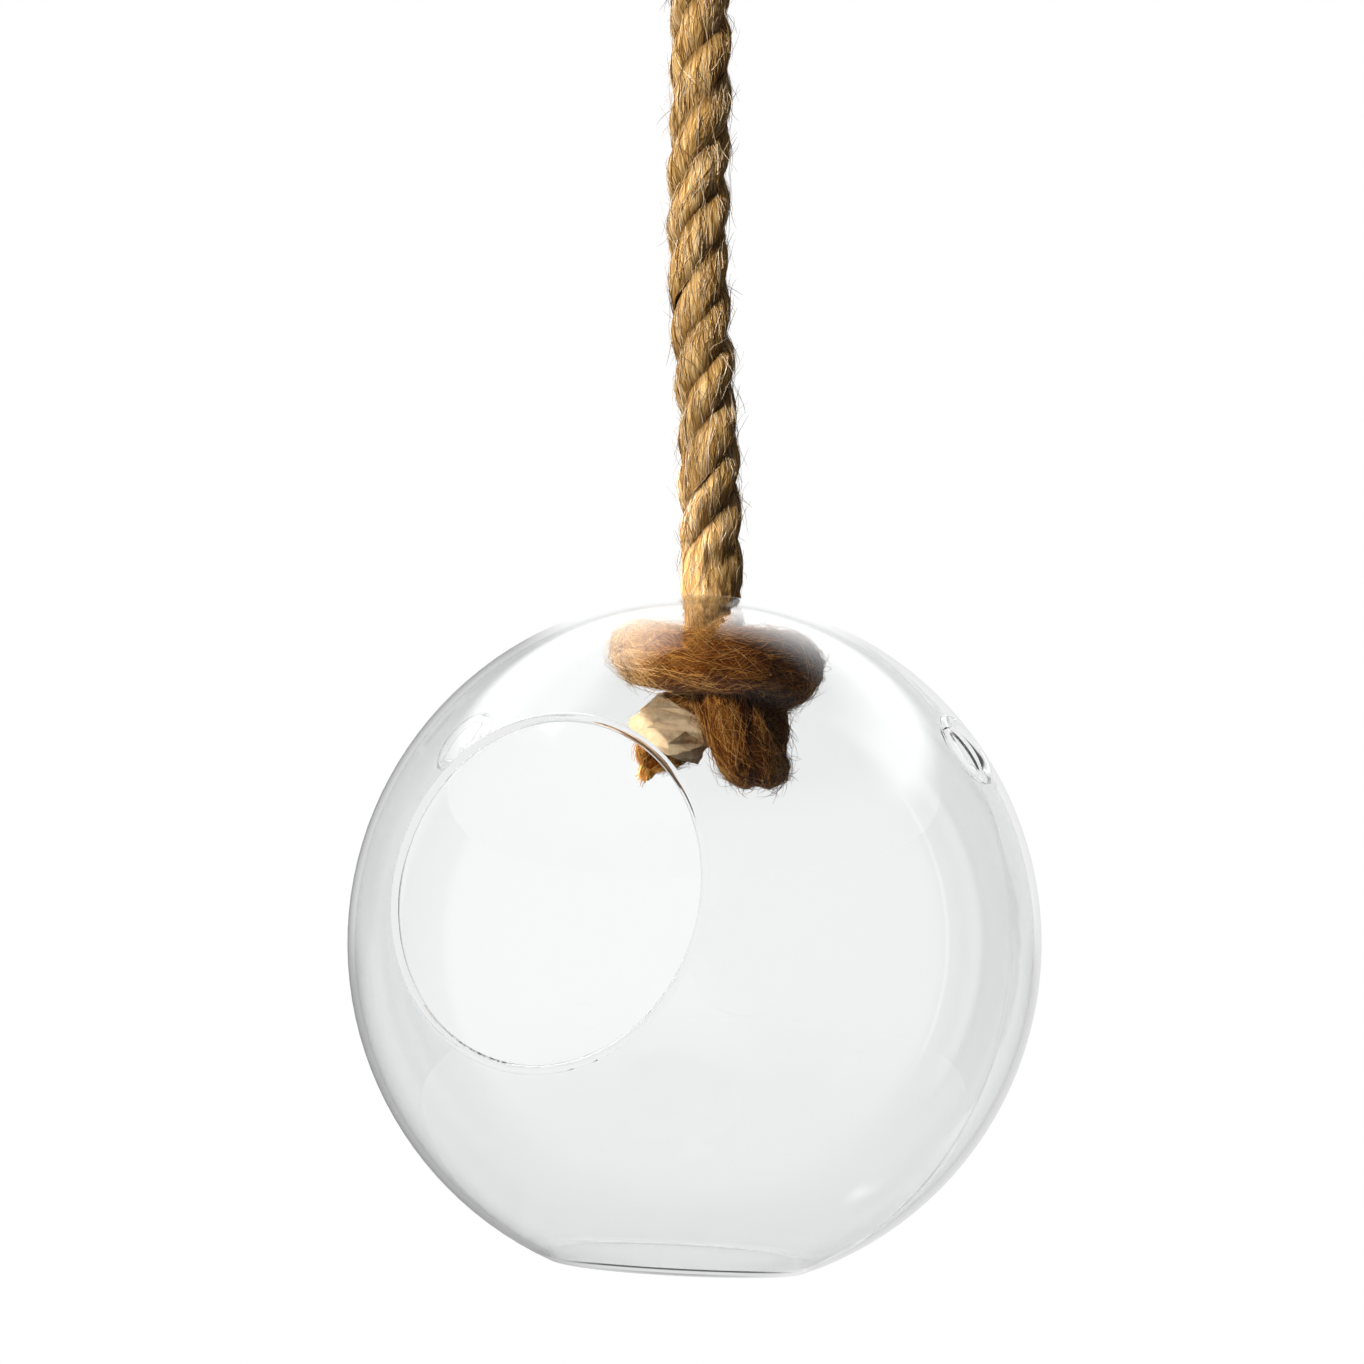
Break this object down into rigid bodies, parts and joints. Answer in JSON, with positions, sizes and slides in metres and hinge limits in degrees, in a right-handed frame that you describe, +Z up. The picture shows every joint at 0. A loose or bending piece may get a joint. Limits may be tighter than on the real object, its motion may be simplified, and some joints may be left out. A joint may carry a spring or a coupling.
{
  "type": "hanging glass ball vase",
  "caption": "Clear blown glass ball with a wide side mouth, small lipped vents and a flat foot, hung by a thick jute rope that is knotted inside its top.",
  "frame": {"origin": "inside top of the rope's eye, where the hook that holds it up bears", "axes": "+Z up along the hanging rope, -Y out of the ball's wide mouth, +X to its right-hand vent"},
  "size_m": [0.25, 0.2424, 0.6076],
  "materials": {
    "clear_glass": "mouth-blown clear soda-lime glass with fire-polished lips",
    "jute_rope": "three-strand laid jute, hairy, undyed",
    "jute_twine": "natural jute twine, tightly wound",
    "paper_sleeve": "crumpled beige paper tape, matte"
  },
  "bodies": {
    "root": {"glass_ball": "clear_glass", "rope": "jute_rope", "eye_whipping": "jute_twine", "end_sleeve": "paper_sleeve"}
  },
  "joints": []
}
